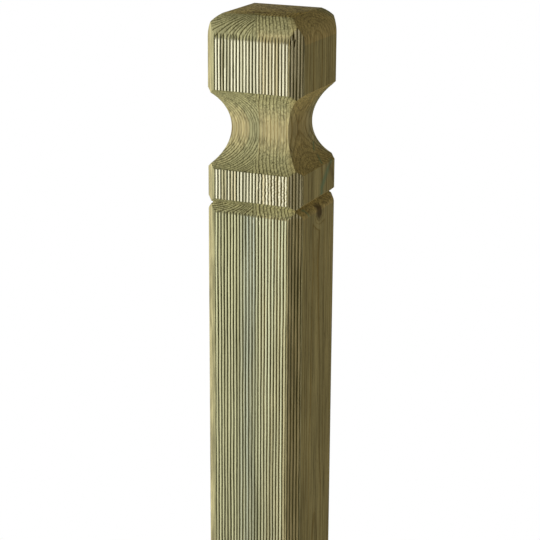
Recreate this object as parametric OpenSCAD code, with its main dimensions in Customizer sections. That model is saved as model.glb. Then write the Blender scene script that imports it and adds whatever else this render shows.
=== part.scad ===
// Newel post in pressure-treated pine: a square post with chamfered corners.
// Its moulded head has a rounded cap, a cove on every side that leaves a waisted
// neck, and a collar with a V-groove below it. The front face and the chamfer on
// its right are reeded for the whole height. The post is moulded as one piece.
// Frame: origin at the centre of the flat underside, front towards -Y, +Z up.

/* [Post] */
// Width of the square section
post_w = 90; // [75:1:120]
// Height from the flat underside to the flat top
post_h = 1100; // [600:10:1400]
// Leg of the 45-degree chamfer on each upright corner
chamfer_leg = 9.8; // [6:0.1:14]

/* [Head] */
// Height of the head block, from the flat top to the upper edge of the cove
head_h = 64; // [50:1:90]
// Radius of the round along the four top edges
round_r = 25; // [12:0.5:28]
// Depth below the flat top at which that round meets the upright faces
round_drop = 22; // [8:0.5:25]

/* [Neck] */
// Height of the cove on each face
cove_h = 69.6; // [45:0.2:80]
// Width of the neck at its waist
neck_w = 53.2; // [40:0.2:62]

/* [Collar] */
// Height of the collar between the cove and the V-groove
collar_h = 26; // [15:1:45]
// Depth of the V-groove
groove_depth = 6.2; // [3:0.1:8]
// Height of the upper flank of the V-groove, under the collar
groove_upper = 4.9; // [3:0.1:8]
// Height of the lower flank of the V-groove, over the shaft
groove_lower = 6.4; // [3:0.1:8]
// Radius that eases the lower flank into the shaft
shoulder_r = 5; // [1:0.5:8]

/* [Reeding] */
// Spacing of the reeds
reed_pitch = 2.98; // [2.5:0.01:4.5]
// Depth of the grooves between the reeds
reed_depth = 1.1; // [0.5:0.05:1.2]
// Width of the flat floor of each groove
reed_gap = 0.3; // [0.1:0.05:0.6]
// Narrowest flat left between the outer grooves and a corner
edge_land = 0.5; // [0.3:0.1:3]

/* [Hidden] */

timber = "#a39e78";
half_w = post_w / 2;
flat_half = half_w - chamfer_leg;
// Circles finer than this count are kept as true arcs
round_fn = 96;
reed_fn = 32;
// How far each cutter runs past the wood
over = 5;

// Whole reeds that fit on the front face, and on the chamfer to its right
face_reeds = floor((2 * flat_half - reed_gap - 2 * edge_land) / reed_pitch);
chamfer_reeds = floor((chamfer_leg * sqrt(2) - reed_gap - 2 * edge_land) / reed_pitch);
// Radius of a reed, whose crown lies in the face and whose foot meets the floor
// of the grooves
reed_half = (reed_pitch - reed_gap) / 2;
reed_r = (pow(reed_half, 2) + pow(reed_depth, 2)) / (2 * reed_depth);
// Distance from the post's axis to the face of a corner chamfer
chamfer_plane = (half_w + flat_half) / sqrt(2);

// The cove is an arc through its two edges and the waist
cove_depth = half_w - neck_w / 2;
cove_r = (pow(cove_h / 2, 2) + pow(cove_depth, 2)) / (2 * cove_depth);
cove_z = post_h - head_h - cove_h / 2;
// Height of the bottom of the V-groove, and of the shaft's upper edge
groove_z = cove_z - cove_h / 2 - collar_h - groove_upper;
shaft_top = groove_z - groove_lower;
// Slope of the lower flank from the level, and the length that the easing takes
// off each side of the edge where it meets the shaft
flank_slope = atan(groove_lower / groove_depth);
ease = shoulder_r * tan((90 - flank_slope) / 2);

// Square section with its four corners chamfered
module chamfered_square() {
    intersection() {
        square(post_w, center = true);
        rotate(45) square(2 * chamfer_plane, center = true);
    }
}

// Strip that the reeding cutter lowers, centred on x = 0 with the wood above y = 0
module reeded_strip(count) {
    width = count * reed_pitch + reed_gap;
    translate([-width / 2, -over]) square([width, over + reed_depth]);
}

// Row of reeds that stands in that strip, with its crowns on y = 0
module reed_row(count) {
    for (i = [0 : count - 1])
        translate([(i - (count - 1) / 2) * reed_pitch, reed_r]) circle(r = reed_r, $fn = reed_fn);
}

// Plan of the post, with its reeds
module post_section() {
    difference() {
        chamfered_square();
        translate([0, -half_w]) reeded_strip(face_reeds);
        rotate(45) translate([0, -chamfer_plane]) reeded_strip(chamfer_reeds);
    }
    translate([0, -half_w]) reed_row(face_reeds);
    rotate(45) translate([0, -chamfer_plane]) reed_row(chamfer_reeds);
}

// Wood taken off the front by the rounding cutter at the top edge
module round_cut() {
    difference() {
        translate([half_w - round_r, post_h - round_drop]) square([round_r + over, round_drop + over]);
        translate([half_w - round_r, post_h - round_drop]) circle(r = round_r, $fn = round_fn);
    }
}

// Wood taken out by the cove cutter
module cove_cut() {
    translate([half_w + cove_r - cove_depth, cove_z]) circle(r = cove_r, $fn = round_fn);
}

// Wood taken out by the V-shaped cutter
module groove_cut() {
    upper_run = groove_upper / groove_depth * over;
    lower_run = groove_lower / groove_depth * over;
    polygon([[half_w - groove_depth, groove_z],
             [half_w + over, shaft_top - lower_run],
             [half_w + over, groove_z + groove_upper + upper_run]]);
}

// Wood taken off the edge between the groove's lower flank and the shaft
module shoulder_cut() {
    difference() {
        polygon([[half_w - ease * cos(flank_slope), shaft_top + ease * sin(flank_slope)],
                 [half_w + over, shaft_top + ease * sin(flank_slope)],
                 [half_w + over, shaft_top - ease],
                 [half_w, shaft_top - ease]]);
        translate([half_w - shoulder_r, shaft_top - ease]) circle(r = shoulder_r, $fn = round_fn);
    }
}

// All that is moulded into one face, run across the whole width of the post
module face_cuts() {
    rotate([90, 0, 0]) translate([0, 0, -half_w - over]) linear_extrude(post_w + 2 * over) {
        round_cut();
        cove_cut();
        groove_cut();
        shoulder_cut();
    }
}

module newel_post() {
    color(timber) difference() {
        linear_extrude(post_h) post_section();
        for (a = [0 : 90 : 270])
            rotate(a) face_cuts();
    }
}

newel_post();
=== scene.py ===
import math

import bpy
import numpy as np
from mathutils import Euler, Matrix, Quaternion, Vector


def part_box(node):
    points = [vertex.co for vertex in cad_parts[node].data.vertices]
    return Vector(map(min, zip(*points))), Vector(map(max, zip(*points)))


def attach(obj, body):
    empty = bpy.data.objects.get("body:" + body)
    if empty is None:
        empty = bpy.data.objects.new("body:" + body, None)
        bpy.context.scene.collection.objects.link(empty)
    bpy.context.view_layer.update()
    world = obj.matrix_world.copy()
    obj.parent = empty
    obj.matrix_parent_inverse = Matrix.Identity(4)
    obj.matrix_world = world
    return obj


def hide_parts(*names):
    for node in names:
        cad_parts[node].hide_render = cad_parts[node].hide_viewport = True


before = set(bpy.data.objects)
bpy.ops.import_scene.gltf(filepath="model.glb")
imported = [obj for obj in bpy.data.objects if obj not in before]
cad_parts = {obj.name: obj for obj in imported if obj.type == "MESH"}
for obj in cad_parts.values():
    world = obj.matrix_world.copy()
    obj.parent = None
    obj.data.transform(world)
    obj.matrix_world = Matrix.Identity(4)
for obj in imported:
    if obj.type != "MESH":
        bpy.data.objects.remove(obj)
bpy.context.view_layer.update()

bl_info = {
    "name": "Newel post",
    "version": (1, 0, 0),
    "blender": (4, 5, 0),
    "location": "3D View > Sidebar > Newel post",
    "description": "Models a reeded newel post of treated pine and the studio it stands in",
    "category": "Add Mesh",
}

MM = 0.001
NODE = "newel_post"
LOW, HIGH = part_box(NODE)


def colour(code):
    """The linear colour, with alpha, of an sRGB hex code."""
    parts = [int(code[i : i + 2], 16) / 255 for i in (1, 3, 5)]
    linear = [p / 12.92 if p <= 0.04045 else ((p + 0.055) / 1.055) ** 2.4 for p in parts]
    return (*linear, 1.0)


# Sizes and colours that a user would change


def length(name, description, millimetres):
    """A size, stated in millimetres and kept in metres."""
    return bpy.props.FloatProperty(
        name=name, description=description, default=millimetres * MM, unit="LENGTH", precision=5
    )


def angle(name, description, degrees):
    """An angle, stated in degrees and kept in radians."""
    return bpy.props.FloatProperty(
        name=name, description=description, default=math.radians(degrees), subtype="ANGLE"
    )


def lamp_power(name, watts):
    """A lamp's power."""
    return bpy.props.FloatProperty(name=name, description="Power of the lamp", default=watts, unit="POWER")


def tint(name, description, code):
    """A colour, stated as an sRGB hex code."""
    return bpy.props.FloatVectorProperty(
        name=name, description=description, default=colour(code), size=4, subtype="COLOR", min=0, max=1
    )


class NewelSizes(bpy.types.PropertyGroup):
    """Sizes of the post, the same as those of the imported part."""

    post_w: length("Width", "Width of the square section", (HIGH.x - LOW.x) / MM)
    post_h: length("Height", "Height from the underside to the flat top", (HIGH.z - LOW.z) / MM)
    chamfer_leg: length("Chamfer", "Leg of the chamfer on each upright corner", 9.8)
    head_h: length("Head", "Height of the head block down to the cove", 64)
    round_r: length("Round", "Radius of the round along the top edges", 25)
    round_drop: length("Round drop", "Depth at which the round meets the upright faces", 22)
    cove_h: length("Cove", "Height of the cove on each face", 69.6)
    neck_w: length("Neck", "Width of the neck at its waist", 53.2)
    collar_h: length("Collar", "Height of the collar", 26)
    groove_depth: length("Groove depth", "Depth of the V-groove", 6.2)
    groove_upper: length("Upper flank", "Height of the groove's upper flank", 4.9)
    groove_lower: length("Lower flank", "Height of the groove's lower flank", 6.4)
    shoulder_r: length("Shoulder", "Radius that eases the lower flank into the shaft", 5)
    reed_pitch: length("Reed pitch", "Spacing of the reeds", 2.98)
    reed_depth: length("Reed depth", "Depth of the grooves between the reeds", 1.1)
    reed_gap: length("Reed gap", "Width of the floor of each groove", 0.3)
    edge_land: length("Edge land", "Narrowest flat beside the outer reeds", 0.5)


class NewelTimber(bpy.types.PropertyGroup):
    """Colours of the treated pine, and where its growth rings lie."""

    heart_early: tint("Heart earlywood", "Soft inner wood between the ring lines", "#B1A67B")
    heart_late: tint("Heart latewood", "Ring lines of the inner wood", "#84713F")
    sap_early: tint("Sap earlywood", "Green-treated outer wood between the ring lines", "#A09D76")
    sap_late: tint("Sap latewood", "Ring lines of the outer wood", "#575029")
    inner_wood: tint("Innermost wood", "Brown cast of the wood nearest the right board's heart", "#EAE6D6")
    end_grain: tint("End grain", "Cast of the wood where it is cut straight across", "#F2F1E2")
    arris: tint("Arris", "Corner chamfers dulled by handling", "#928D69")
    reed_crest: tint("Reed crest", "Burnished crowns of the reeds on the head and collar", "#F6F3D4")
    tan_crest: tint("Tan crest", "Crowns of a few browner reeds on the head and collar", "#E2D8B0")
    left_crest: tint("Left crest", "Crowns of the reeds on the left of the shaft", "#D4D3AA")
    cool_crest: tint("Cool crest", "Crowns of the reeds in the shaft's greyer band", "#C2C9B4")
    shaft_crest: tint("Shaft crest", "Crowns of the reeds on the right of the shaft", "#D8DCB8")
    edge_crest: tint("Edge crest", "Crowns of the reeds on the corner chamfer", "#BCAE80")
    # Painted shade: this colour on the grooves' floors stands for the shade that falls between the reeds
    groove_shade: tint("Reed floor", "Grooves, where the treatment has gathered", "#30360A")
    torn: tint("Torn wood", "Hollows where fibres were pulled out", "#3A3219")
    knot: tint("Knot", "Heart of the knot", "#3F3020")
    stain: tint("Copper stain", "Blue-green salts of the treatment", "#738A6A")
    left_ring: length("Left ring", "Width of one year's growth in the left board", 1.55)
    right_ring: length("Right ring", "Width of one year's growth in the right board", 2.8)
    glue_line: length("Glue line", "Where the two boards of the blank meet, across the front", 0)


class NewelStudio(bpy.types.PropertyGroup):
    """Camera and lamps."""

    azimuth: angle("Azimuth", "Side the camera stands to", 23.972)
    pan: angle("Pan", "Turn of the camera away from the post's axis", 0.054)
    tilt: angle("Tilt", "Angle the camera looks down at", 17.245)
    roll: angle("Roll", "Turn about the line of sight", 0.284)
    distance: length("Distance", "Level distance from the post's axis", 1454.4)
    rise: length("Rise", "Height of the camera over the top of the post", 218.5)
    lens: bpy.props.FloatProperty(name="Lens", description="Focal length", default=113.27, unit="CAMERA")
    key: lamp_power("Key lamp", 54)
    fill: lamp_power("Fill lamp", 3.6)
    back: lamp_power("Back lamp", 10)
    ambient: bpy.props.FloatProperty(name="Ambient", description="Light from the room", default=0.245)


# Tools for edit mode


def deselect():
    """Leaves nothing selected."""
    bpy.ops.object.select_all(action="DESELECT")


def activate(*pieces):
    """Selects these pieces alone and makes the last one active."""
    deselect()
    for piece in pieces:
        piece.select_set(True)
    bpy.context.view_layer.objects.active = pieces[-1]


def edit_all(piece):
    """Opens a piece in edit mode, with all its points selected."""
    activate(piece)
    bpy.ops.object.mode_set(mode="EDIT")
    bpy.ops.mesh.select_mode(type="VERT")
    bpy.ops.mesh.select_all(action="SELECT")


def numbers(items, field, width):
    """A property of all the items, one row each."""
    values = np.zeros(len(items) * width)
    items.foreach_get(field, values)
    return values.reshape(-1, width)


def choose(kind, test):
    """Selects the active mesh's vertices, edges or faces that pass a test of their place and direction."""
    bpy.ops.object.mode_set(mode="OBJECT")
    mesh = bpy.context.object.data
    points = numbers(mesh.vertices, "co", 3)
    for items in (mesh.vertices, mesh.edges, mesh.polygons):
        items.foreach_set("select", np.zeros(len(items), bool))
    if kind == "VERT":
        mesh.vertices.foreach_set("select", test(points, points))
    elif kind == "EDGE":
        ends = points[numbers(mesh.edges, "vertices", 2).astype(int)]
        run = ends[:, 1] - ends[:, 0]
        mesh.edges.foreach_set("select", test(ends.mean(1), run))
    else:
        centres = numbers(mesh.polygons, "center", 3)
        mesh.polygons.foreach_set("select", test(centres, numbers(mesh.polygons, "normal", 3)))
    bpy.context.tool_settings.mesh_select_mode = [kind == k for k in ("VERT", "EDGE", "FACE")]
    bpy.ops.object.mode_set(mode="EDIT")


def apply(piece, kind, **settings):
    """Adds a modifier with these settings to a piece and applies it."""
    activate(piece)
    modifier = piece.modifiers.new(kind.title(), kind)
    for name, value in settings.items():
        setattr(modifier, name, value)
    bpy.ops.object.modifier_apply(modifier=modifier.name)


def near(values, target, reach=0.02 * MM):
    """True where the values lie at the target."""
    return np.abs(values - target) < reach


# The blank: a chamfered post with its reeds run


def add_blank(s):
    """The planed post with its four chamfers."""
    size = (s.post_w, s.post_w, s.post_h)
    bpy.ops.mesh.primitive_cube_add(size=1, location=(0, 0, s.post_h / 2), scale=size)
    blank = bpy.context.object
    blank.name = "treated_pine_post"
    bpy.ops.object.transform_apply(location=True, rotation=True, scale=True)
    bpy.ops.object.mode_set(mode="EDIT")
    choose("EDGE", lambda place, run: np.abs(run[:, 2]) > s.post_h / 2)
    bpy.ops.mesh.bevel(offset=s.chamfer_leg, segments=1, affect="EDGES")
    bpy.ops.object.mode_set(mode="OBJECT")
    return blank


class ReededFace:
    """One face of the blank that carries reeds, and its own level and inward directions."""

    def __init__(self, s, turn, plane, width):
        self.plane = plane
        self.reed_depth = s.reed_depth
        self.count = math.floor((width - s.reed_gap - 2 * s.edge_land) / s.reed_pitch)
        self.half = (self.count * s.reed_pitch + s.reed_gap) / 2
        self.across = np.array([math.cos(turn), math.sin(turn), 0])
        self.inward = np.array([-math.sin(turn), math.cos(turn), 0])

    def coordinates(self, points):
        """How far each point lies across the face, and how deep under it."""
        return points @ self.across, points @ self.inward + self.plane

    def surface(self, centres, normals):
        """Whether each polygon lies in this face."""
        return (normals @ self.inward < -0.99) & near(self.coordinates(centres)[1], 0)

    def reeds(self, centres, normals):
        """Whether each polygon is part of this face's reeds."""
        side, depth = self.coordinates(centres)
        return (np.abs(side) < self.half) & (depth < self.reed_depth) & (np.abs(normals[:, 2]) < 0.5)


def reeded_faces(s):
    """The front face, and the chamfer to its right."""
    flat = s.post_w - 2 * s.chamfer_leg
    return (
        ReededFace(s, 0, s.post_w / 2, flat),
        ReededFace(s, math.pi / 4, (s.post_w - s.chamfer_leg) / math.sqrt(2), s.chamfer_leg * math.sqrt(2)),
    )


def reed_outline(s):
    """The lines that draw one reed: how far each lies from its middle, and how deep."""
    half = (s.reed_pitch - s.reed_gap) / 2
    radius = (half**2 + s.reed_depth**2) / (2 * s.reed_depth)
    places = [half * share for share in (-1, -0.78, -0.42, 0, 0.42, 0.78, 1)]
    return [(x, radius - math.sqrt(radius**2 - x**2)) for x in places]


def run_reeds(s, face):
    """Cuts the lines of every reed into one face, then lowers them to the reed's round."""
    outline = reed_outline(s)
    middles = [(i - (face.count - 1) / 2) * s.reed_pitch for i in range(face.count)]
    cuts = [-face.half, face.half] + [m + x for m in middles for x, _ in outline]
    for cut in cuts:
        choose("FACE", face.surface)
        place = face.across * cut - face.inward * face.plane
        bpy.ops.mesh.bisect(plane_co=place, plane_no=face.across)
    for x, depth in outline:
        if depth == 0:
            continue
        lines = np.array([m + x for m in middles])

        def on_line(points, _, lines=lines):
            side, under = face.coordinates(points)
            return near(under, 0) & near(side[:, None], lines).any(1)

        choose("VERT", on_line)
        bpy.ops.transform.translate(value=face.inward * depth)


def collar_middle(s):
    """Height of the middle of the collar."""
    return s.post_h - s.head_h - s.cove_h - s.collar_h / 2


def add_levels(s, fine_from, fine, coarse):
    """Divides the post's height, more finely where it is moulded."""
    bpy.ops.mesh.select_all(action="SELECT")
    bpy.ops.mesh.bisect(plane_co=(0, 0, fine_from), plane_no=(0, 0, 1))
    choose("EDGE", lambda place, run: (np.abs(run[:, 2]) > 10 * MM) & (place[:, 2] > fine_from))
    bpy.ops.mesh.subdivide(number_cuts=fine - 1)
    choose("EDGE", lambda place, run: (np.abs(run[:, 2]) > 10 * MM) & (place[:, 2] < fine_from))
    bpy.ops.mesh.subdivide(number_cuts=coarse - 1)
    # The curls on the collar are smaller still
    middle = collar_middle(s)
    choose("EDGE", lambda place, run: (np.abs(run[:, 2]) > MM) & near(place[:, 2], middle, s.collar_h / 2))
    bpy.ops.mesh.subdivide(number_cuts=2)


def wander(blank, s, faces):
    """Lets the reeds stray a little from side to side, as a cutter does in soft grain."""
    points = numbers(blank.data.vertices, "co", 3)
    carried = np.zeros(len(points), bool)
    for face in faces:
        side, depth = face.coordinates(points)
        carried |= (np.abs(side) < face.half - 0.1 * MM) & (depth < s.reed_depth + 0.1 * MM)
    curly = carried & (np.abs(points[:, 2] - collar_middle(s)) < s.collar_h / 2)
    curly &= (points[:, 0] > 6 * MM) & (points[:, 0] < s.post_w / 2 - s.chamfer_leg)
    for group, held in (("reeds", carried), ("curly_reeds", curly)):
        blank.vertex_groups.new(name=group).add(np.flatnonzero(held).tolist(), 1.0, "REPLACE")
    passes = (
        # name; size of the noise across, in and up, and how far it moves them, in mm; which reeds
        ("drift", (9, 9, 60), 0.45, "reeds"),
        ("chatter", (3, 3, 16), 0.12, "reeds"),
        ("curl", (3.4, 3.4, 2.6), 0.75, "curly_reeds"),
    )
    for name, scale, strength, group in passes:
        texture = bpy.data.textures.new(name, "CLOUDS")
        texture.noise_scale = 1.0
        bpy.ops.object.empty_add()
        ruler = bpy.context.object
        ruler.scale = [v * MM for v in scale]
        bpy.context.view_layer.update()
        apply(
            blank,
            "DISPLACE",
            texture=texture,
            texture_coords="OBJECT",
            texture_coords_object=ruler,
            vertex_group=group,
            direction="X",
            mid_level=0.5,
            strength=2 * strength * MM,
        )
        bpy.data.objects.remove(ruler)
        bpy.data.textures.remove(texture)
    blank.vertex_groups.clear()


# The cutters: what the moulder takes off each side


def start_outline(x, z, y):
    """A lone vertex in edit mode, to draw an outline from."""
    bpy.ops.mesh.primitive_plane_add(size=MM, location=(0, 0, 0))
    edit_all(bpy.context.object)
    bpy.ops.mesh.merge(type="CENTER")
    bpy.ops.transform.translate(value=(x, y, z))


def draw_line(dx, dz):
    """Draws a straight stretch of the outline."""
    bpy.ops.mesh.extrude_region_move(TRANSFORM_OT_translate={"value": (dx, 0, dz)})


def draw_arc(x, z, y, sweep, steps):
    """Draws an arc of the outline round a centre."""
    bpy.ops.mesh.spin(steps=steps, angle=sweep, center=(x, y, z), axis=(0, 1, 0))


def close_outline(width):
    """Closes the outline with a face and runs it across the post."""
    bpy.ops.mesh.select_all(action="SELECT")
    bpy.ops.mesh.edge_face_add()
    bpy.ops.mesh.extrude_region_move(TRANSFORM_OT_translate={"value": (0, width, 0)})
    bpy.ops.mesh.select_all(action="SELECT")
    bpy.ops.mesh.normals_make_consistent(inside=False)
    bpy.ops.object.mode_set(mode="OBJECT")
    return bpy.context.object


def cutter_sizes(s):
    """Heights and radii that follow from the sizes."""
    depth = (s.post_w - s.neck_w) / 2
    cove_r = ((s.cove_h / 2) ** 2 + depth**2) / (2 * depth)
    cove_z = s.post_h - s.head_h - s.cove_h / 2
    groove_z = cove_z - s.cove_h / 2 - s.collar_h - s.groove_upper
    return depth, cove_r, cove_z, groove_z


def add_round_cutter(s, over):
    """Takes off the wood outside the round of the top edge."""
    half = s.post_w / 2
    base = s.post_h - s.round_drop
    # The arc runs on past the flat top
    sweep = math.radians(76)
    y = -half - over
    start_outline(half, base, y)
    draw_arc(half - s.round_r, base, y, sweep, steps=26)
    end_x = half - s.round_r * (1 - math.cos(sweep))
    rise = s.round_r * math.sin(sweep)
    draw_line(half + over - end_x, 0)
    draw_line(0, -rise)
    return close_outline(s.post_w + 2 * over)


def add_cove_cutter(s, over):
    """Hollows the cove."""
    depth, radius, height, _ = cutter_sizes(s)
    bpy.ops.mesh.primitive_cylinder_add(
        vertices=160,
        radius=radius,
        depth=s.post_w + 2 * over,
        location=(s.post_w / 2 + radius - depth, 0, height),
        rotation=(math.pi / 2, 0, 0),
    )
    bpy.ops.object.transform_apply(location=True, rotation=True, scale=True)
    return bpy.context.object


def add_groove_cutter(s, over):
    """Cuts the V-groove and eases its lower edge."""
    half = s.post_w / 2
    groove_z = cutter_sizes(s)[3]
    shaft_top = groove_z - s.groove_lower
    slope = math.atan(s.groove_lower / s.groove_depth)
    turn = math.pi / 2 - slope
    ease = s.shoulder_r * math.tan(turn / 2)
    y = -half - over
    run = s.groove_depth + over
    rise = s.groove_upper / s.groove_depth * run
    start_outline(half - s.groove_depth, groove_z, y)
    draw_line(run, rise)
    draw_line(0, shaft_top - ease - groove_z - rise)
    draw_line(-over, 0)
    draw_arc(half - s.shoulder_r, shaft_top - ease, y, turn, steps=6)
    return close_outline(s.post_w + 2 * over)


def cut_away(post, cutter, solver):
    """Takes a cutter's shape out of the post, and leaves the cutter's finish on the cut."""
    apply(post, "BOOLEAN", operation="DIFFERENCE", object=cutter, solver=solver, material_mode="TRANSFER")


def mould_sides(blank, s, finish):
    """Runs all four sides past the cutters."""
    over = 5 * MM
    cutters = [add_round_cutter(s, over), add_cove_cutter(s, over), add_groove_cutter(s, over)]
    activate(*cutters)
    bpy.ops.object.join()
    cutter = bpy.context.object
    cutter.data.materials.clear()
    cutter.data.materials.append(finish)
    for _ in range(4):
        edit_all(cutter)
        bpy.ops.transform.rotate(value=math.pi / 2, orient_axis="Z", center_override=(0, 0, 0))
        bpy.ops.object.mode_set(mode="OBJECT")
        cut_away(blank, cutter, "MANIFOLD")
    bpy.data.objects.remove(cutter)


# Damage


def add_chips(blank, s, finish):
    """The splinter torn from the first grooves of the corner chamfer, at the top of the head."""
    lumps = (
        # place: across, in from the front, below the top; tilt to the right; sizes the same ways, in mm
        ((35.9, 0.4, 16.6), 5, (0.55, 2.2, 4.8)),
        ((37.3, 1.9, 13.4), 3, (0.5, 2.0, 4.0)),
        ((38.4, 3.2, 20.0), 7, (0.5, 1.5, 4.4)),
    )
    for number, (place, tilt, size) in enumerate(lumps):
        across, inward, drop = (v * MM for v in place)
        bpy.ops.mesh.primitive_ico_sphere_add(
            subdivisions=3,
            radius=1,
            location=(across, inward - s.post_w / 2, s.post_h - drop),
            rotation=(0, math.radians(tilt), 0),
            scale=[v * MM for v in size],
        )
        lump = bpy.context.object
        bpy.ops.object.transform_apply(location=True, rotation=True, scale=True)
        edit_all(lump)
        bpy.ops.transform.vertex_random(offset=0.15 * MM, seed=number)
        bpy.ops.object.mode_set(mode="OBJECT")
        lump.data.materials.append(finish)
        cut_away(blank, lump, "EXACT")
        bpy.data.objects.remove(lump)


def close_skin(post):
    """Merges the doubled points and slivers that the cuts leave, so that the post is one closed skin."""
    sliver = 0.001 * MM
    edit_all(post)
    bpy.ops.mesh.remove_doubles(threshold=sliver)
    bpy.ops.mesh.dissolve_degenerate(threshold=sliver)
    bpy.ops.object.mode_set(mode="OBJECT")


# Materials

# Settings that many nodes share
ADD = {"operation": "ADD"}
SUBTRACT = {"operation": "SUBTRACT"}
MULTIPLY = {"operation": "MULTIPLY"}
MULTIPLY_ADD = {"operation": "MULTIPLY_ADD"}
SCALE = {"operation": "SCALE"}
DOT = {"operation": "DOT_PRODUCT"}
COLOURS = {"data_type": "RGBA"}
SMOOTH = {"interpolation_type": "SMOOTHSTEP"}
# Hearts of the two boards, both outside the post, in millimetres
LEFT_HEART, RIGHT_HEART = Vector((-53.4, 28.2, 0)), Vector((84, -4, 0))
# Depths below the top, in millimetres, between which painted shade darkens the post towards its foot
FALLOFF_START, FALLOFF_END = 200, 480
# Specular level of the dry wood: its open fibres leave hardly any gloss
DRY_GLOSS = 0.01


def add_node(tree, kind, settings=None, links=None):
    """Adds a node, sets its values and links its inputs, each input by name or number.

    The kind leaves out the ShaderNode that most kinds start with. A Map Range's inputs 1 to 4 are From Min,
    From Max, To Min and To Max, and a colour Mix's 0, 6 and 7 are its factor and its two colours.
    """
    node = tree.nodes.new(kind if kind.startswith("NodeGroup") else f"ShaderNode{kind}")
    for name, value in (settings or {}).items():
        if isinstance(name, int) or name in node.inputs:
            node.inputs[name].default_value = value
        else:
            setattr(node, name, value)
    for name, source in (links or {}).items():
        output = source if isinstance(source, bpy.types.NodeSocket) else source.outputs[0]
        tree.links.new(output, node.inputs[name])
    return node


def ramp(node, stops):
    """Sets a colour ramp's stops, each a place and a grey level or a colour."""
    elements = node.color_ramp.elements
    while len(elements) > 1:
        elements.remove(elements[-1])
    for number, (place, value) in enumerate(stops):
        element = elements[0] if number == 0 else elements.new(place)
        element.position = place
        element.color = (value, value, value, 1) if isinstance(value, (int, float)) else value
    return node


def streaks(tree, point, wide, tall, detail=2, levels=None):
    """A pattern drawn out along the grain, its marks about so many millimetres wide and tall.

    The levels are a Map Range's settings, which turn the pattern into other values.
    """
    drawn = add_node(tree, "VectorMath", {"operation": "DIVIDE", 1: (wide, wide, tall)}, {0: point})
    pattern = add_node(tree, "TexNoise", {"Scale": 1, "Detail": detail}, {"Vector": drawn})
    return add_node(tree, "MapRange", levels, {0: pattern}) if levels else pattern


def thin_mark(tree, point, start, end, width):
    """A soft mark that runs from one point to another: 1 on its middle, 0 at this distance."""
    run = Vector(end) - Vector(start)
    away = add_node(tree, "VectorMath", SUBTRACT | {1: start}, {0: point})
    share = run / run.length_squared
    along = add_node(tree, "VectorMath", DOT | {1: share}, {0: away})
    along = add_node(tree, "MapRange", links={0: along.outputs["Value"]})
    foot = add_node(tree, "VectorMath", SCALE | {0: run}, {"Scale": along})
    apart = add_node(tree, "VectorMath", {"operation": "DISTANCE"}, {0: away, 1: foot})
    return add_node(tree, "MapRange", SMOOTH | {2: width, 3: 1, 4: 0}, {0: apart.outputs["Value"]})


def marks(tree, point, runs):
    """The strongest of several thin marks, each given by its ends, width and strength."""
    strongest = None
    for start, end, width, strength in runs:
        mark = thin_mark(tree, point, start, end, width)
        mark = add_node(tree, "Math", MULTIPLY | {1: strength}, {0: mark})
        if strongest:
            mark = add_node(tree, "Math", {"operation": "MAXIMUM"}, {0: strongest, 1: mark})
        strongest = mark
    return strongest


def millimetres(tree):
    """The point in the object's own frame, in millimetres."""
    place = add_node(tree, "TexCoord")
    return add_node(tree, "VectorMath", SCALE | {"Scale": 1 / MM}, {0: place.outputs["Object"]})


def ring_radius(tree, point, own, board, knot):
    """Distance from the heart of the board, which strays up the post and swells round the knot."""
    heart = add_node(tree, "VectorMath", SCALE | {0: RIGHT_HEART - LEFT_HEART}, {"Scale": board})
    heart = add_node(tree, "VectorMath", ADD | {1: LEFT_HEART}, {0: heart})
    flat = add_node(tree, "VectorMath", MULTIPLY | {1: (1, 1, 0)}, {0: point})
    reach = add_node(tree, "VectorMath", SUBTRACT, {0: flat, 1: heart})
    bend = streaks(tree, own, 83, 290).outputs["Color"]
    bend = add_node(tree, "VectorMath", SUBTRACT | {1: (0.5, 0.5, 0.5)}, {0: bend})
    reach = add_node(tree, "VectorMath", MULTIPLY_ADD | {1: (14, 14, 0)}, {0: bend, 2: reach})
    radius = add_node(tree, "VectorMath", {"operation": "LENGTH"}, {0: reach}).outputs["Value"]
    swell = add_node(tree, "MapRange", {"interpolation_type": "SMOOTHERSTEP", 2: 17, 3: 9, 4: 0}, {0: knot})
    swell = add_node(tree, "Math", MULTIPLY, {0: swell, 1: board})
    return add_node(tree, "Math", ADD, {0: radius, 1: swell})


def knot_distance(tree, s, point):
    """Distance from the branch that meets the right face below the groove."""
    mouth = (s.post_w / 2 / MM, 1.2, s.post_h / MM - 174.2)
    branch = Vector((39.4, 7, -6)).normalized()
    away = add_node(tree, "VectorMath", SUBTRACT | {1: mouth}, {0: point})
    along = add_node(tree, "VectorMath", DOT | {1: branch}, {0: away}).outputs["Value"]
    foot = add_node(tree, "VectorMath", SCALE | {0: branch}, {"Scale": along})
    beside = add_node(tree, "VectorMath", SUBTRACT, {0: away, 1: foot})
    # Longer up the grain than across it
    beside = add_node(tree, "VectorMath", MULTIPLY | {1: (1, 0.78, 0.8)}, {0: beside})
    apart = add_node(tree, "VectorMath", {"operation": "LENGTH"}, {0: beside}).outputs["Value"]
    ragged = streaks(tree, point, 3, 5)
    return add_node(tree, "Math", MULTIPLY_ADD | {1: 2.5}, {0: ragged, 2: apart})


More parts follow.
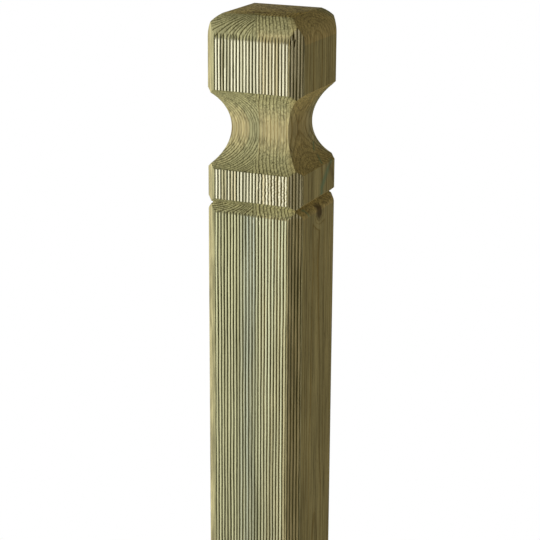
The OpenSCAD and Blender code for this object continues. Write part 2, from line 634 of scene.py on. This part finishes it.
def growth(tree, t, own, board, radius):
    """Latewood: 1 on the dark line that ends each year's ring."""
    years = add_node(tree, "TexNoise", {"noise_dimensions": "1D", "Scale": 0.13, "Detail": 1}, {"W": radius})
    swing = add_node(tree, "MapRange", {3: 4, 4: 2}, {0: board})
    years = add_node(tree, "Math", MULTIPLY, {0: years, 1: swing})
    uneven = add_node(tree, "Math", ADD, {0: years, 1: radius})
    ragged = streaks(tree, own, 2, 20)
    uneven = add_node(tree, "Math", MULTIPLY_ADD | {1: 0.25}, {0: ragged, 2: uneven})
    gap = add_node(tree, "MapRange", {3: t.left_ring / MM, 4: t.right_ring / MM}, {0: board})
    rings = add_node(tree, "Math", {"operation": "DIVIDE"}, {0: uneven, 1: gap})
    season = add_node(tree, "Math", {"operation": "FRACT"}, {0: rings})
    # Pale spring wood darkens slowly into the summer's line, which ends sharply
    year = ((0, 0.45), (0.1, 0.03), (0.55, 0.05), (0.78, 0.35), (0.9, 1.0), (0.98, 0.9), (1, 0.45))
    return ramp(add_node(tree, "ValToRGB", links={0: season}), year)


def sapwood(tree, board, radius, cut, inner):
    """How green the treatment has turned the wood: most in the outer rings and across the grain.

    The flat top has weathered brown again.
    """
    # Distances from the left and the right heart where the outer wood starts, and where it is fully green
    starts = add_node(tree, "MapRange", {3: 69.8, 4: 82}, {0: board})
    ends = add_node(tree, "MapRange", {3: 71, 4: 90}, {0: board})
    outer = add_node(tree, "MapRange", SMOOTH, {0: radius, 1: starts, 2: ends})
    soaked = add_node(tree, "MapRange", {1: 0.1, 2: 0.52, 4: 0.85}, {0: cut})
    weathered = add_node(tree, "MapRange", {1: 0.9, 3: 1, 4: 0.2}, {0: cut})
    # Where cut, the right board's inner wood keeps nearer its own heart colours; this also paints light onto
    # the right side's mouldings, brightening them
    unsoaked_and_lit = add_node(tree, "MapRange", {3: 1, 4: 0.25}, {0: inner})
    for share in (weathered, unsoaked_and_lit):
        soaked = add_node(tree, "Math", MULTIPLY, {0: soaked, 1: share})
    return add_node(tree, "Math", {"operation": "MAXIMUM"}, {0: outer, 1: soaked})


def sawn_pine(s, t):
    """Solid wood: two glued boards, each with growth rings about its own heart, seen wherever it is cut."""
    tree = bpy.data.node_groups.new("Sawn pine", "ShaderNodeTree")
    tree.interface.new_socket("Cut", in_out="INPUT", socket_type="NodeSocketFloat")
    tree.interface.new_socket("Colour", in_out="OUTPUT", socket_type="NodeSocketColor")
    for name in ("Latewood", "Relief", "Inner"):
        tree.interface.new_socket(name, in_out="OUTPUT", socket_type="NodeSocketFloat")
    # How far the surface crosses the grain: 0 along it, 1 straight across
    cut = add_node(tree, "NodeGroupInput").outputs["Cut"]
    point = millimetres(tree)
    axes = add_node(tree, "SeparateXYZ", links={0: point})
    right_of_glue = {"operation": "GREATER_THAN", 1: t.glue_line / MM}
    board = add_node(tree, "Math", right_of_glue, {0: axes.outputs["X"]})
    # The right board is taken from another length of the tree, so its figure differs
    shift = add_node(tree, "VectorMath", MULTIPLY | {1: (310, 170, 900)}, {0: board})
    own = add_node(tree, "VectorMath", ADD, {0: point, 1: shift})
    knot = knot_distance(tree, s, point)
    radius = ring_radius(tree, point, own, board, knot)
    late = growth(tree, t, own, board, radius)
    inner = add_node(tree, "MapRange", {1: 64, 2: 56}, {0: radius})
    inner = add_node(tree, "Math", MULTIPLY, {0: inner, 1: board})
    sap = sapwood(tree, board, radius, cut, inner)

    # Ring lines stand out most where they are cut across, and come and go along the post
    patch = streaks(tree, own, 11, 170, 3)
    shown = add_node(tree, "MapRange", {1: 0.35, 2: 0.6, 3: 0.6}, {0: patch})
    boldest = add_node(tree, "MapRange", {3: 1.35, 4: 1.2}, {0: board})
    crossed = add_node(tree, "MapRange", {2: 0.6, 3: 0.85}, {0: cut, 4: boldest})
    faint = add_node(tree, "MapRange", {2: 0.4, 3: 0.9, 4: 0.42}, {0: cut})
    plain = add_node(tree, "MapRange", {3: 1}, {0: inner, 4: faint})
    for share in (crossed, plain):
        shown = add_node(tree, "Math", MULTIPLY, {0: shown, 1: share})
    line = add_node(tree, "Math", MULTIPLY | {"use_clamp": True}, {0: late, 1: shown})
    # Cut across the grain, the soft wood is paler and the hard lines between it soak up the light
    tones = []
    for heart, green, across in ((t.heart_early, t.sap_early, 1.15), (t.heart_late, t.sap_late, 0.4)):
        tone = add_node(tree, "Mix", COLOURS | {6: heart, 7: green}, {0: sap}).outputs[2]
        changed = add_node(tree, "MapRange", {2: 0.7, 3: 1, 4: across}, {0: cut})
        tones.append(add_node(tree, "VectorMath", SCALE, {0: tone, "Scale": changed}))
    wood = add_node(tree, "Mix", COLOURS, {0: line, 6: tones[0], 7: tones[1]}).outputs[2]

    # The inner wood of the right board is browner
    browner = COLOURS | {"blend_type": "MULTIPLY", 7: t.inner_wood}
    wood = add_node(tree, "Mix", browner, {0: inner, 6: wood}).outputs[2]

    # Fibres, really 0.03 mm wide, drawn as bundles 0.9 mm wide so that they show
    fine = streaks(tree, own, 0.9, 28)
    coarse = streaks(tree, own, 2.6, 70)
    contrast = add_node(tree, "ValToRGB", links={0: cut})
    contrast = ramp(contrast, ((0, 0.26), (0.6, 0.5), (0.9, 0.5), (0.97, 1)))
    contrast = add_node(tree, "Math", MULTIPLY | {1: 4.6}, {0: contrast})
    grain = add_node(tree, "Math", SUBTRACT | {1: 0.5}, {0: fine})
    grain = add_node(tree, "Math", MULTIPLY, {0: grain, 1: contrast})
    bundle = add_node(tree, "Math", MULTIPLY_ADD | {1: 1.1, 2: -0.55}, {0: coarse})
    bolder = add_node(tree, "MapRange", {1: 0.93, 2: 0.99, 3: 1, 4: 2.6}, {0: cut})
    bundle = add_node(tree, "Math", MULTIPLY, {0: bundle, 1: bolder})
    fibre = add_node(tree, "Math", ADD, {0: grain, 1: bundle})
    broad = add_node(tree, "MapRange", {1: 0.3, 2: 0.7, 3: 0.84, 4: 1.16}, {0: patch})
    tone = add_node(tree, "Math", ADD, {0: broad, 1: fibre})
    # Painted shade: a little darker lower down, as if less of the lamps' light reached the foot
    high = s.post_h / MM
    painted_falloff = add_node(tree, "MapRange", {1: high - FALLOFF_END, 2: high - FALLOFF_START, 3: 0.85}, {0: axes.outputs["Z"]})
    tone = add_node(tree, "Math", MULTIPLY, {0: tone, 1: painted_falloff})
    wood = add_node(tree, "VectorMath", SCALE, {0: wood, "Scale": tone})

    # Resin canals, really 0.2 mm wide, drawn 0.9 mm wide: short dashes along the grain and dots across it
    canals = streaks(tree, own, 0.9, 6, 1, levels=SMOOTH | {1: 0.64, 2: 0.74, 4: 0.35})

    # The knot: a dark heart in a ring of browner wood
    core = add_node(tree, "MapRange", SMOOTH | {1: 4.2, 2: 8.4, 3: 0.8, 4: 0}, {0: knot})
    core = add_node(tree, "Math", MULTIPLY, {0: core, 1: board})

    # Copper salts dried in thin runs on the right side
    half = s.post_w / 2 / MM
    runs = (
        ((half, 28, high - 133), (half, 19, high - 140), 4.5, 0.6),
        ((half, 19, high - 140), (half, 6, high - 153), 6.5, 0.75),
        ((half, 6, high - 153), (half, 6, high - 160), 6, 0.7),
        ((31, 20, high - 117), (34, 14.5, high - 122), 2, 0.9),
        ((37, 15, high - 127), (43, 10, high - 132), 2, 0.9),
        ((43, -39, high - 161), (41, -25, high - 167), 2, 0.9),
        ((41, -25, high - 167), (half, -22, high - 172), 2, 0.9),
    )
    stain = add_node(tree, "Math", MULTIPLY, {0: marks(tree, point, runs), 1: tone})

    # Dirt: a patch on the top, two on the right of the collar, and two nicks in the left chamfer
    smudges = (
        ((-8, -18, high), (2, -17, high), 6, 0.55),
        ((half, 25, high - 138), (half, 33, high - 150), 6, 0.4),
        ((half, -2, high - 166), (half, 14, high - 166), 5, 0.3),
        ((-43, -37, high - 385), (-43, -37, high - 402), 4, 0.5),
        ((-43, -37, high - 296), (-43, -37, high - 300), 3, 0.4),
    )
    smudge = marks(tree, point, smudges)

    # Tear-out on the front round and in the V-groove: rows of dark pits along the ring lines
    torn_places = (
        ((-14, -41, high - 9), (-8, -37, high - 4), 19, 1),
        ((-33, -42, high - 166), (-4, -42, high - 167), 11, 1),
    )
    pits = streaks(tree, own, 1.4, 4, 1, levels={1: 0.42, 2: 0.54})
    for share in (late, marks(tree, point, torn_places), cut):
        pits = add_node(tree, "Math", MULTIPLY, {0: pits, 1: share})
    pits = add_node(tree, "Math", MULTIPLY | {1: 3.6, "use_clamp": True}, {0: pits})

    covers = ((canals, t.knot), (core, t.knot), (stain, t.stain), (smudge, t.knot), (pits, t.torn))
    for cover, shade in covers:
        wood = add_node(tree, "Mix", COLOURS | {7: shade}, {0: cover, 6: wood}).outputs[2]

    relief = add_node(tree, "Math", MULTIPLY_ADD | {1: 0.5}, {0: late, 2: fine})
    relief = add_node(tree, "Math", SUBTRACT, {0: relief, 1: canals})
    results = {"Colour": wood, "Latewood": late, "Relief": relief, "Inner": inner}
    add_node(tree, "NodeGroupOutput", links=results)
    return tree


def new_material(name):
    """A material with no nodes in it yet, and its node tree."""
    material = bpy.data.materials.new(name)
    material.use_nodes = True
    material.node_tree.nodes.clear()
    return material, material.node_tree


def new_finish(name, pine):
    """A material with the wood in it, and its dull shader with the surface's relief."""
    material, tree = new_material(name)
    wood = add_node(tree, "Group", {"node_tree": pine})
    rough = add_node(tree, "MapRange", {3: 0.8, 4: 0.62}, {0: wood.outputs["Latewood"]})
    relief = {"Height": wood.outputs["Relief"]}
    bump = add_node(tree, "Bump", {"Strength": 0.5, "Distance": 0.25 * MM}, relief)
    surface = {"Roughness": rough, "Normal": bump}
    shader = add_node(tree, "BsdfPrincipled", {"Specular IOR Level": DRY_GLOSS}, surface)
    add_node(tree, "OutputMaterial", links={"Surface": shader})
    return material, tree, wood, shader


def planed_pine(pine, s, t):
    """Treated pine, planed: flat faces with upright grain, and arrises dulled by handling."""
    material, tree, wood, shader = new_finish("treated_pine_planed", pine)
    point = millimetres(tree)
    # The two level distances from the axis add up to this on a corner chamfer
    corner = (s.post_w - s.chamfer_leg) / MM
    spread = add_node(tree, "VectorMath", {"operation": "ABSOLUTE"}, {0: point})
    spread = add_node(tree, "VectorMath", DOT | {1: (1, 1, 0)}, {0: spread})
    arris = add_node(tree, "MapRange", {1: corner - 0.6, 2: corner - 0.2}, {0: spread.outputs["Value"]})
    dulled = add_node(tree, "Math", MULTIPLY | {1: 0.7}, {0: arris})
    tone = add_node(tree, "Mix", COLOURS | {7: t.arris}, {0: dulled, 6: wood.outputs["Colour"]}).outputs[2]
    # Handling dulls it in long uneven stretches
    worn = streaks(tree, point, 3, 26, 3, levels={1: 0.35, 2: 0.65, 3: 0.66, 4: 1.4})
    worn = add_node(tree, "Mix", {2: 1.0}, {0: arris, 3: worn})
    tone = add_node(tree, "VectorMath", SCALE, {0: tone, "Scale": worn})
    tree.links.new(tone.outputs[0], shader.inputs["Base Color"])
    return material


def moulded_pine(pine, t):
    """Treated pine, cut by a moulder: darker and rougher the more it crosses the grain."""
    material, tree, wood, shader = new_finish("treated_pine_moulded", pine)
    place = add_node(tree, "TexCoord")
    axes = add_node(tree, "SeparateXYZ", links={0: place.outputs["Normal"]})
    cross = add_node(tree, "Math", {"operation": "ABSOLUTE"}, {0: axes.outputs["Z"]})
    tree.links.new(cross.outputs[0], wood.inputs["Cut"])
    share = add_node(tree, "MapRange", {1: 0.1}, {0: cross})
    ends = COLOURS | {"blend_type": "MULTIPLY", 7: t.end_grain}
    tone = add_node(tree, "Mix", ends, {0: share, 6: wood.outputs["Colour"]}).outputs[2]
    # The flat top has weathered brown
    brown = add_node(tree, "VectorMath", MULTIPLY | {1: (1.09, 1.0, 0.8)}, {0: tone})
    level = add_node(tree, "MapRange", {1: 0.93, 2: 0.99}, {0: cross})
    tone = add_node(tree, "Mix", COLOURS, {0: level, 6: tone, 7: brown}).outputs[2]
    # Painted light: on the right side the inner wood is brightened, most where it faces down, in place of
    # light bounced up from the floor
    bounce_lit = add_node(tree, "VectorMath", MULTIPLY | {1: (1.27, 1.18, 1.1)}, {0: tone})
    underlight = add_node(tree, "MapRange", {1: -0.8, 2: 0.8, 3: 1.08, 4: 0.88}, {0: axes.outputs["Z"]})
    bounce_lit = add_node(tree, "VectorMath", SCALE, {0: bounce_lit, "Scale": underlight})
    right = add_node(tree, "MapRange", {1: 0.15, 2: 0.3}, {0: axes.outputs["X"]})
    right = add_node(tree, "Math", MULTIPLY, {0: wood.outputs["Inner"], 1: right})
    tone = add_node(tree, "Mix", COLOURS, {0: right, 6: tone, 7: bounce_lit}).outputs[2]
    tree.links.new(tone, shader.inputs["Base Color"])
    return material


def torn_pine(t):
    """Torn treated pine: dark, because the gaps between its loose fibres hold dirt and no light."""
    material, tree = new_material("treated_pine_torn")
    # Splinters about 0.6 mm thick
    fibre = streaks(tree, millimetres(tree), 0.6, 6, levels={1: 0.4, 2: 0.7})
    tone = add_node(tree, "Mix", COLOURS | {6: t.torn, 7: t.heart_late}, {0: fibre}).outputs[2]
    dull = {"Specular IOR Level": DRY_GLOSS, "Roughness": 0.9}
    shader = add_node(tree, "BsdfPrincipled", dull, {"Base Color": tone})
    add_node(tree, "OutputMaterial", links={"Surface": shader})
    return material


def reeded_pine(pine, s, t):
    """Treated pine, reeded: pale burnished crests over grooves darkened with painted shade."""
    material, tree, wood, shader = new_finish("treated_pine_reeded", pine)
    point = millimetres(tree)
    axes = add_node(tree, "SeparateXYZ", links={0: point})
    top = s.post_h / MM
    front = -s.post_w / 2 / MM
    corner = (s.post_w / 2 - s.chamfer_leg) / MM

    # How deep the surface lies under the nearer reeded face
    depths = []
    for face in reeded_faces(s):
        outward = DOT | {1: Vector(-face.inward)}
        out = add_node(tree, "VectorMath", outward, {0: point}).outputs["Value"]
        depths.append(add_node(tree, "Math", SUBTRACT | {0: face.plane / MM}, {1: out}))
    depth = add_node(tree, "Math", {"operation": "MINIMUM"}, {0: depths[0], 1: depths[1]})
    # On the head a few reeds are worn to half their width, so the painted shade of their grooves is drawn
    # wider
    narrowed = (
        ((-24.5, front, top - 22), (-24.5, front, top - 44), 1.6, 0.22),
        ((-16.5, front, top - 42), (-16.5, front, top - 52), 1.6, 0.25),
        ((-28, front, top - 30), (-28, front, top - 52), 1.4, 0.18),
    )
    depth = add_node(tree, "Math", ADD, {0: depth, 1: marks(tree, point, narrowed)})

    # The shaft's crests run in bands across the face: yellower, greyer, paler and browner
    stray = streaks(tree, point, 6, 400, 1)
    band = add_node(tree, "Math", MULTIPLY_ADD | {1: 16, 2: -8}, {0: stray})
    band = add_node(tree, "Math", ADD, {0: band, 1: axes.outputs["X"]})
    band = add_node(tree, "MapRange", {1: -corner, 2: corner}, {0: band})
    shades = (
        (0.3, t.left_crest),
        (0.42, t.cool_crest),
        (0.56, t.cool_crest),
        (0.62, t.shaft_crest),
        (0.94, t.shaft_crest),
        (1.0, t.edge_crest),
    )
    shaft = ramp(add_node(tree, "ValToRGB", links={0: band}), shades)
    # A few of the crests above the groove are tan
    tan = streaks(tree, point, 2.9, 300, 1, levels={1: 0.56, 2: 0.66})
    head = add_node(tree, "Mix", COLOURS | {6: t.reed_crest, 7: t.tan_crest}, {0: tan}).outputs[2]
    shaft_top = (collar_middle(s) - s.collar_h / 2 - s.groove_upper - s.groove_lower) / MM
    high = add_node(tree, "MapRange", {1: shaft_top - 1, 2: shaft_top + 1}, {0: axes.outputs["Z"]})
    burnish = add_node(tree, "Mix", COLOURS, {0: high, 6: shaft, 7: head}).outputs[2]
    # The crests on the corner chamfer are duller
    edge = add_node(tree, "MapRange", {1: corner - 0.3, 2: corner + 0.3}, {0: axes.outputs["X"]})
    duller = add_node(tree, "MapRange", {3: 1, 4: 0.7}, {0: high})
    edge = add_node(tree, "Math", MULTIPLY, {0: edge, 1: duller})
    burnish = add_node(tree, "Mix", COLOURS | {7: t.edge_crest}, {0: edge, 6: burnish}).outputs[2]

    # Painted shade: slanting dark lines cross the crests of the curly reeds on the collar every 2.4 mm,
    # standing for the shade of their ripples
    slant = add_node(tree, "VectorMath", DOT | {1: (1.3, 0, -2.3)}, {0: point})
    ripple_shade = streaks(tree, point, 7, 7, 1)
    swerve = MULTIPLY_ADD | {1: 7}
    ripple_shade = add_node(tree, "Math", swerve, {0: ripple_shade, 2: slant.outputs["Value"]})
    ripple_shade = add_node(tree, "Math", {"operation": "SINE"}, {0: ripple_shade})
    ripple_shade = add_node(tree, "MapRange", {1: 0.1, 2: 0.8}, {0: ripple_shade})
    curly = thin_mark(tree, point, (20, front, top - 141), (35, front, top - 153), 13)
    ripple_shade = add_node(tree, "Math", MULTIPLY, {0: ripple_shade, 1: curly})

    # Each reed keeps its own tone for a long way, and painted shade darkens them down the post
    kept = streaks(tree, point, 2.6, 240, levels={1: 0.35, 2: 0.6, 3: 0.4})
    lower = add_node(tree, "MapRange", {1: top - FALLOFF_END, 2: top - FALLOFF_START, 3: 0.6}, {0: axes.outputs["Z"]})
    crest_unshaded = add_node(tree, "MapRange", {3: 1, 4: 0.4}, {0: ripple_shade})
    crest = add_node(tree, "MapRange", {1: 0.06, 2: 0.5, 3: 1, 4: 0}, {0: depth})
    for share in (kept, lower, crest_unshaded):
        crest = add_node(tree, "Math", MULTIPLY, {0: crest, 1: share})
    pale = add_node(tree, "Mix", COLOURS, {0: crest, 6: wood.outputs["Colour"], 7: burnish}).outputs[2]

    # The painted shade in the grooves is lighter in the greyer band, and where the reeds are worn fuzzy
    lighter_patches = streaks(tree, point, 4, 60, levels={1: 0.4, 2: 0.62, 3: 1, 4: 0.7})
    shade_by_band = add_node(tree, "ValToRGB", links={0: band})
    shade_by_band = ramp(shade_by_band, ((0.3, 1), (0.44, 0.72), (0.54, 0.72), (0.62, 0.95)))
    fuzzy = thin_mark(tree, point, (24, front, top - 186), (27, front, top - 214), 6)
    fuzzy = add_node(tree, "MapRange", {3: 1, 4: 0.45}, {0: fuzzy})
    # Painted shade: the surface darkens towards the floor of each groove
    deep = add_node(tree, "MapRange", {1: 0.18, 2: 0.7}, {0: depth})
    for share in (lighter_patches, shade_by_band, fuzzy):
        deep = add_node(tree, "Math", MULTIPLY, {0: deep, 1: share})
    tone = add_node(tree, "Mix", COLOURS | {7: t.groove_shade}, {0: deep, 6: pale}).outputs[2]

    # A few pale dabs where a reed has chipped below the groove
    chips = (
        ((4.6, front, top - 171.5), (5.2, front, top - 173.5), 1.3, 0.8),
        ((7.4, front, top - 176), (8.2, front, top - 178), 1.2, 0.7),
        ((1.6, front, top - 175), (2.4, front, top - 177), 1.1, 0.6),
    )
    dabs = marks(tree, point, chips)
    tone = add_node(tree, "Mix", COLOURS | {7: t.reed_crest}, {0: dabs, 6: tone}).outputs[2]
    tree.links.new(tone, shader.inputs["Base Color"])
    return material


# Operators


def paint(post, finish, test):
    """Gives a finish to the faces that pass a test."""
    choose("FACE", test)
    post.active_material_index = post.data.materials.find(finish.name)
    bpy.ops.object.material_slot_assign()


class NEWEL_OT_post(bpy.types.Operator):
    """Models the post: its blank, reeds, mouldings and damage"""

    bl_idname = "newel.post"
    bl_label = "Add newel post"

    def execute(self, context):
        s = context.scene.newel_sizes
        t = context.scene.newel_timber
        pine = sawn_pine(s, t)
        planed, moulded, reeded = planed_pine(pine, s, t), moulded_pine(pine, t), reeded_pine(pine, s, t)
        deselect()
        post = add_blank(s)
        for finish in (planed, moulded, reeded):
            post.data.materials.append(finish)
        faces = reeded_faces(s)
        bpy.ops.object.mode_set(mode="EDIT")
        for face in faces:
            run_reeds(s, face)
        # The levels are finer from a little above mid-height, so that the reeds can stray smoothly
        add_levels(s, fine_from=s.post_h - 480 * MM, fine=192, coarse=62)
        for face in faces:
            paint(post, reeded, face.reeds)
        paint(post, moulded, lambda centres, normals: np.abs(normals[:, 2]) > 0.5)
        bpy.ops.object.mode_set(mode="OBJECT")
        wander(post, s, faces)
        mould_sides(post, s, moulded)
        add_chips(post, s, torn_pine(t))
        close_skin(post)
        activate(post)
        bpy.ops.object.shade_smooth_by_angle(angle=math.radians(33))
        if len(post.data.polygons) == 0:
            raise RuntimeError("the post has no faces left after its cuts")
        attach(post, "root")
        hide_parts(NODE)
        return {"FINISHED"}


class NEWEL_OT_stage(bpy.types.Operator):
    """Sets the floor, the lamps, the room's light and the camera"""

    bl_idname = "newel.stage"
    bl_label = "Add studio"

    def execute(self, context):
        scene = context.scene
        studio = scene.newel_studio
        height = scene.newel_sizes.post_h
        deselect()
        bpy.ops.mesh.primitive_plane_add(size=30)
        floor = context.object
        floor.name = "studio_floor"
        floor.data.materials.append(floor_paint())
        lamps = (
            # name, side in degrees, distance, height and width in metres, and power
            ("key_lamp", -45, 2.2, height - 0.1, 1.0, studio.key),
            ("fill_lamp", 85, 1.6, 0.2, 0.8, studio.fill),
            ("back_lamp", 200, 2.6, height, 1.2, studio.back),
        )
        for name, side, distance, rise, size, power in lamps:
            add_lamp(name, math.radians(side), distance, rise, size, power, aim=height * 0.8)
        light_room(scene, studio.ambient)
        add_camera(scene, studio, height)
        scene.view_settings.view_transform = "Standard"
        return {"FINISHED"}


def background_rays(tree):
    """1 for the rays that show the background: from the camera, off gloss and through glass."""
    path = add_node(tree, "LightPath")
    seen = path.outputs["Is Camera Ray"]
    for ray in ("Is Glossy Ray", "Is Transmission Ray"):
        seen = add_node(tree, "Math", {"operation": "MAXIMUM"}, {0: seen, 1: path.outputs[ray]})
    return seen


def floor_paint():
    """Pale matt paint. The camera sees it brightened to the white of the background, more so far off."""
    material, tree = new_material("floor_matt_white")
    matt = add_node(tree, "BsdfDiffuse", {"Color": colour("#E4E4E0")})
    glow = add_node(tree, "Emission", {"Strength": 1})
    place = add_node(tree, "TexCoord").outputs["Object"]
    far = add_node(tree, "VectorMath", {"operation": "LENGTH"}, {0: place}).outputs["Value"]
    # Within 0.4 m of the post, where its shadow lies, the paint shows through most
    share = add_node(tree, "MapRange", SMOOTH | {1: 0.4, 2: 1.25, 3: 0.72}, {0: far})
    share = add_node(tree, "Math", MULTIPLY, {0: share, 1: background_rays(tree)})
    both = add_node(tree, "MixShader", links={0: share, 1: matt, 2: glow})
    add_node(tree, "OutputMaterial", links={"Surface": both})
    return material


def add_lamp(name, azimuth, distance, height, size, power, aim):
    """A square soft box at an azimuth round the post, aimed at a height on it."""
    place = Vector((math.sin(azimuth) * distance, -math.cos(azimuth) * distance, height))
    bpy.ops.object.light_add(type="AREA", location=place)
    lamp = bpy.context.object
    lamp.name = name
    lamp.data.size = size
    lamp.data.energy = power
    lamp.visible_camera = False
    towards = Vector((0, 0, aim)) - place
    lamp.rotation_euler = towards.to_track_quat("-Z", "Y").to_euler()


def light_room(scene, ambient):
    """A white room that gives weak, slightly warm light."""
    world = bpy.data.worlds.new("white_room")
    scene.world = world
    world.use_nodes = True
    tree = world.node_tree
    tree.nodes.clear()
    seen = background_rays(tree)
    strength = add_node(tree, "MapRange", {3: ambient}, {0: seen})
    shades = COLOURS | {6: colour("#FFF9EC"), 7: colour("#FFFFFF")}
    shade = add_node(tree, "Mix", shades, {0: seen}).outputs[2]
    sky = add_node(tree, "Background", links={"Strength": strength, "Color": shade})
    add_node(tree, "OutputWorld", links={"Surface": sky})


def add_camera(scene, studio, height):
    """A long lens, a little above the post and to its right."""
    side, distance = studio.azimuth, studio.distance
    place = (math.sin(side) * distance, -math.cos(side) * distance, height + studio.rise)
    bpy.ops.object.camera_add(location=place)
    camera = bpy.context.object
    aim = Euler((math.pi / 2 - studio.tilt, 0, side + studio.pan)).to_quaternion()
    camera.rotation_euler = (aim @ Quaternion((0, 0, 1), studio.roll)).to_euler()
    camera.data.lens = studio.lens
    scene.camera = camera


class NEWEL_PT_panel(bpy.types.Panel):
    """The newel post's operators and settings"""

    bl_idname = "NEWEL_PT_panel"
    bl_label = "Newel post"
    bl_space_type = "VIEW_3D"
    bl_region_type = "UI"
    bl_category = "Newel post"

    def draw(self, context):
        for operator in (NEWEL_OT_post, NEWEL_OT_stage):
            self.layout.operator(operator.bl_idname)
        for group in (context.scene.newel_sizes, context.scene.newel_timber, context.scene.newel_studio):
            box = self.layout.box()
            for name in group.__annotations__:
                box.prop(group, name)


CLASSES = (NewelSizes, NewelTimber, NewelStudio, NEWEL_OT_post, NEWEL_OT_stage, NEWEL_PT_panel)


def register():
    for item in CLASSES:
        bpy.utils.register_class(item)
    bpy.types.Scene.newel_sizes = bpy.props.PointerProperty(type=NewelSizes)
    bpy.types.Scene.newel_timber = bpy.props.PointerProperty(type=NewelTimber)
    bpy.types.Scene.newel_studio = bpy.props.PointerProperty(type=NewelStudio)


def unregister():
    del bpy.types.Scene.newel_studio
    del bpy.types.Scene.newel_timber
    del bpy.types.Scene.newel_sizes
    for item in reversed(CLASSES):
        bpy.utils.unregister_class(item)


def main():
    register()
    bpy.ops.newel.post()
    bpy.ops.newel.stage()


if __name__ == "__main__":
    main()
